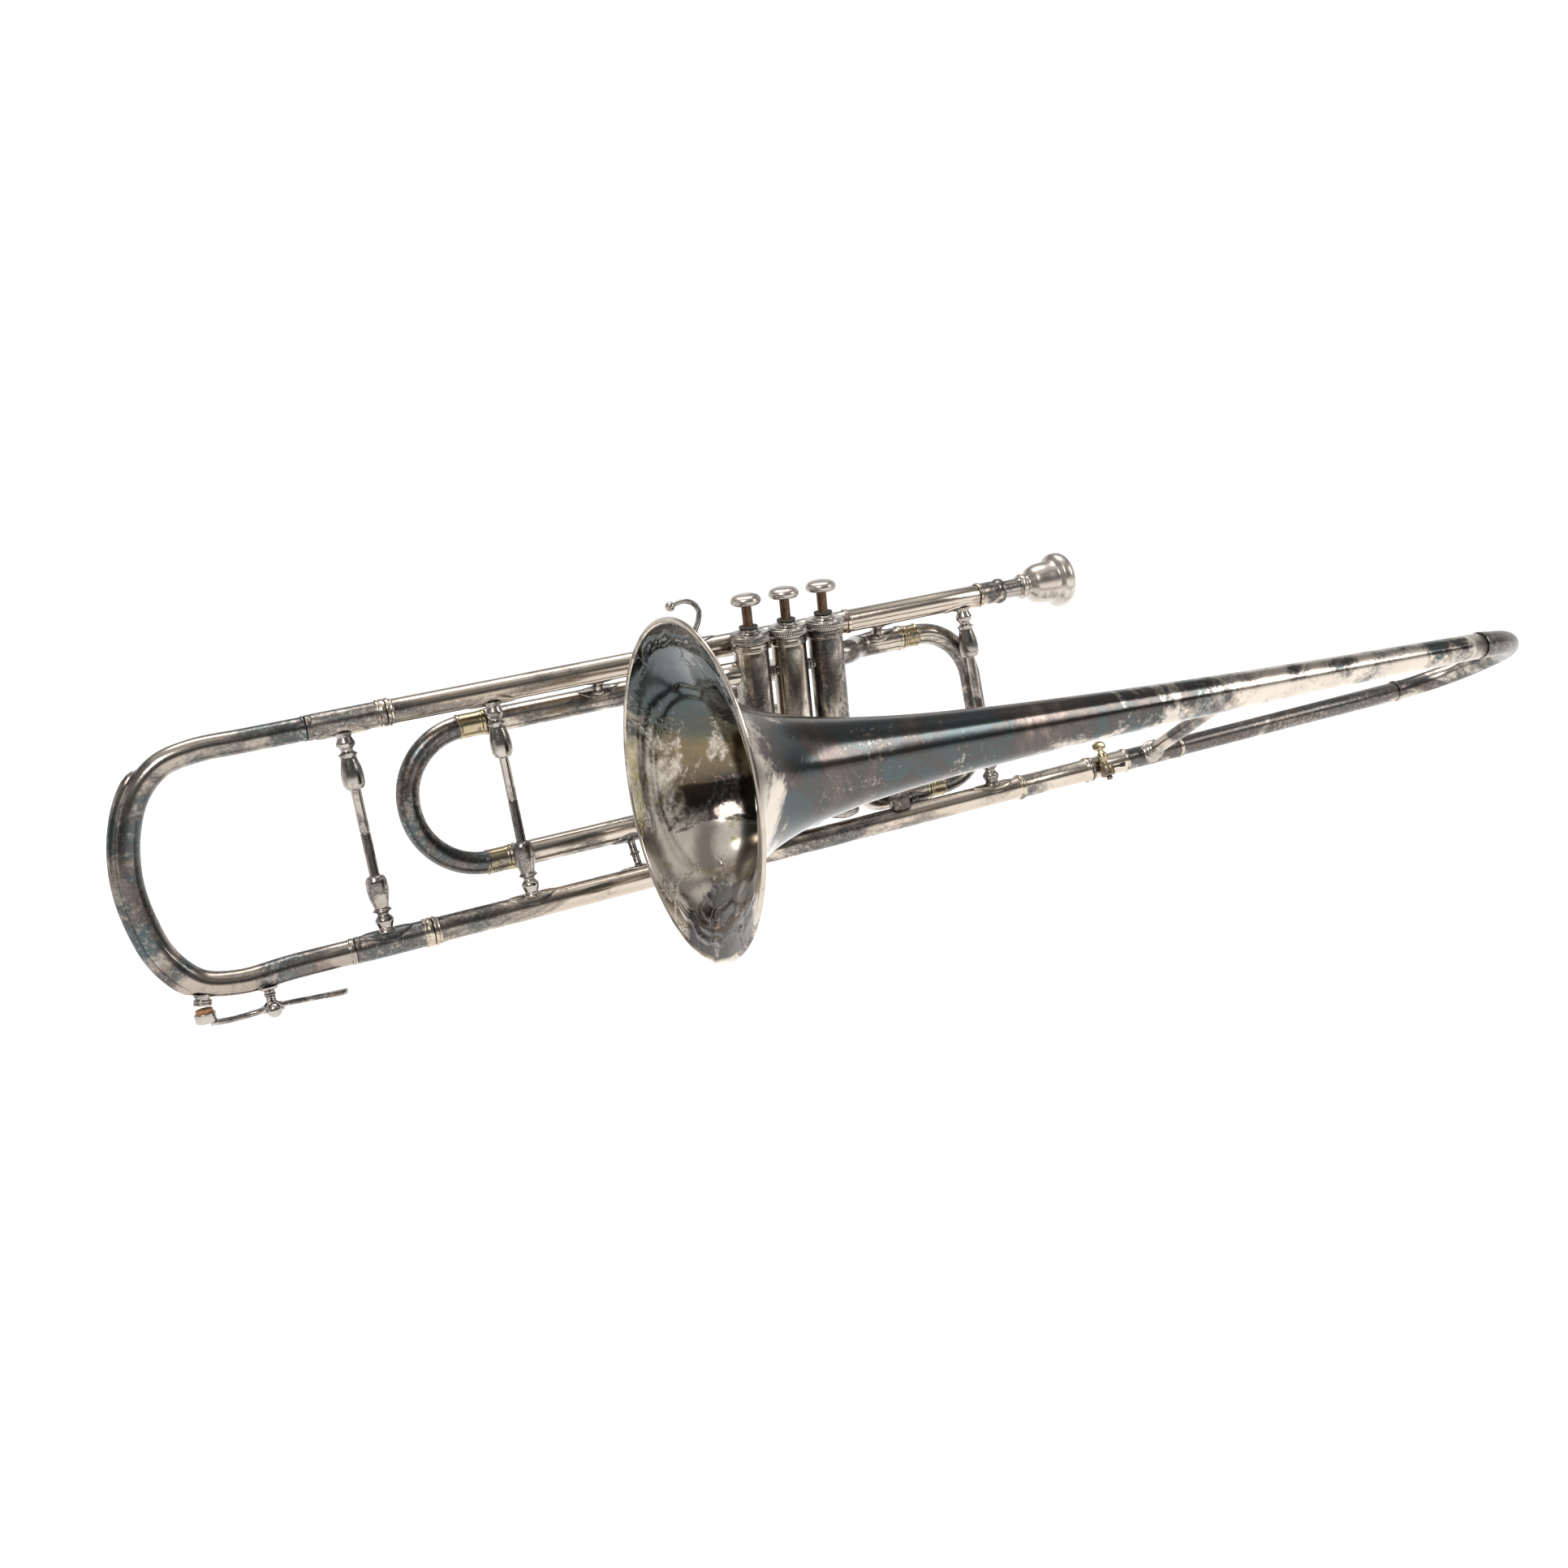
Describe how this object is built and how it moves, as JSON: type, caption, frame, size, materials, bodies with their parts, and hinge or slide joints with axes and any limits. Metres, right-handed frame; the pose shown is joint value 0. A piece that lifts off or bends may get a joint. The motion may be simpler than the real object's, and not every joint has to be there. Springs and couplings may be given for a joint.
{
  "type": "valve trombone",
  "caption": "Tenor valve trombone: long parallel tubes with a front tuning bow, leaning piston valves with their slides, and a flared bell carried beside them on a swivel joint.",
  "frame": {"origin": "point on the middle valve casing's axis where the left hand holds the horn, 55 mm below the upper long tube", "axes": "+X along the long tubes towards the mouthpiece and the player, +Z from the lower long tube up to the upper long tube, bell on the -Y side"},
  "size_m": [0.9242, 0.2944, 0.19],
  "materials": {
    "silver": "polished, silver plated, tarnished in blotches",
    "dark_silver": "heavily tarnished silver plate",
    "raw_brass": "worn brass",
    "valve_metal": "brown stem and piston",
    "spring_wire": "drawn wire",
    "felt": "felt washer",
    "cork": "cork"
  },
  "bodies": {
    "horn_body": {"upper_tube": "silver", "mouthpiece_receiver": "dark_silver", "lower_front_tube": "silver", "lower_rear_tube": "silver", "casing_1": "silver", "casing_2": "silver", "casing_3": "silver", "top_cap_1": "silver", "top_cap_2": "silver", "top_cap_3": "silver", "bottom_cap_1": "silver", "bottom_cap_2": "silver", "bottom_cap_3": "silver", "felt_1": "felt", "felt_2": "felt", "felt_3": "felt", "valve_spring_1": "spring_wire", "valve_spring_2": "spring_wire", "valve_spring_3": "spring_wire", "casing_link_12": "silver", "casing_link_23": "silver", "inlet_knuckle": "silver", "outlet_knuckle": "silver", "third_slide_sleeve_upper": "silver", "third_slide_sleeve_lower": "silver", "first_slide_sleeve_upper": "silver", "first_slide_sleeve_lower": "silver", "second_slide_sleeve_upper": "silver", "second_slide_sleeve_lower": "silver", "brace_middle": "silver", "brace_rear": "silver", "post_upper_front": "dark_silver", "post_lower_front": "dark_silver", "post_upper_rear": "dark_silver", "post_lower_rear": "dark_silver", "finger_hook": "silver"},
    "main_slide": {"main_slide_leg_upper": "silver", "main_slide_leg_lower": "silver", "front_bow": "dark_silver", "bow_guard": "dark_silver", "brace_front": "silver", "water_key_bracket": "silver"},
    "water_key": {"water_key_lever": "silver", "water_key_cork": "cork"},
    "valve_1": {"piston_1": "valve_metal", "button_1": "silver"},
    "valve_2": {"piston_2": "valve_metal", "button_2": "silver"},
    "valve_3": {"piston_3": "valve_metal", "button_3": "silver"},
    "first_slide": {"first_valve_slide": "raw_brass"},
    "second_slide": {"second_valve_slide": "raw_brass"},
    "third_slide": {"third_valve_slide": "raw_brass"},
    "mouthpiece": {"mouthpiece": "silver"},
    "bell_section": {"gooseneck": "silver", "rear_bow": "silver", "bell": "dark_silver", "bell_brace": "silver"},
    "lock_screw": {"lock_screw": "raw_brass"}
  },
  "joints": [
    {"name": "main_tuning_slide", "type": "slide", "parent": "horn_body", "child": "main_slide", "axis": [-1, 0, 0], "range_m": [0, 0.055]},
    {"name": "water_key_pivot", "type": "hinge", "parent": "main_slide", "child": "water_key", "pos_m": [-0.3287, 0.00851, -0.0885], "axis": [0, -1, 0], "range_deg": [0, 10], "stiffness_Nm_per_rad": 0.1, "springref_deg": -20.05},
    {"name": "valve_1_travel", "type": "slide", "parent": "horn_body", "child": "valve_1", "axis": [0, 0.2045, -0.9789], "range_m": [0, 0.0115], "stiffness_N_per_m": 180, "springref_m": -0.022, "deforming": ["valve_spring_1"]},
    {"name": "valve_2_travel", "type": "slide", "parent": "horn_body", "child": "valve_2", "axis": [0, 0.2045, -0.9789], "range_m": [0, 0.0115], "stiffness_N_per_m": 180, "springref_m": -0.022, "deforming": ["valve_spring_2"]},
    {"name": "valve_3_travel", "type": "slide", "parent": "horn_body", "child": "valve_3", "axis": [0, 0.2045, -0.9789], "range_m": [0, 0.0115], "stiffness_N_per_m": 180, "springref_m": -0.022, "deforming": ["valve_spring_3"]},
    {"name": "first_slide_travel", "type": "slide", "parent": "horn_body", "child": "first_slide", "axis": [1, 0, 0], "range_m": [0, 0.02]},
    {"name": "second_slide_travel", "type": "slide", "parent": "horn_body", "child": "second_slide", "axis": [0, 1, 0], "range_m": [0, 0.03]},
    {"name": "third_slide_travel", "type": "slide", "parent": "horn_body", "child": "third_slide", "axis": [-1, 0, 0], "range_m": [0, 0.08]},
    {"name": "mouthpiece_pull", "type": "slide", "parent": "horn_body", "child": "mouthpiece", "axis": [1, 0, 0], "range_m": [0, 0.026]},
    {"name": "bell_swivel", "type": "hinge", "parent": "horn_body", "child": "bell_section", "pos_m": [0.2047, 0.00851, -0.073], "axis": [1, 0, 0], "range_deg": [-5, 60]},
    {"name": "lock_screw_turn", "type": "hinge", "parent": "bell_section", "child": "lock_screw", "pos_m": [0.2117, -0.00629, -0.0806], "axis": [0, 0.3201, 0.9474], "range_deg": [0, 180]}
  ]
}
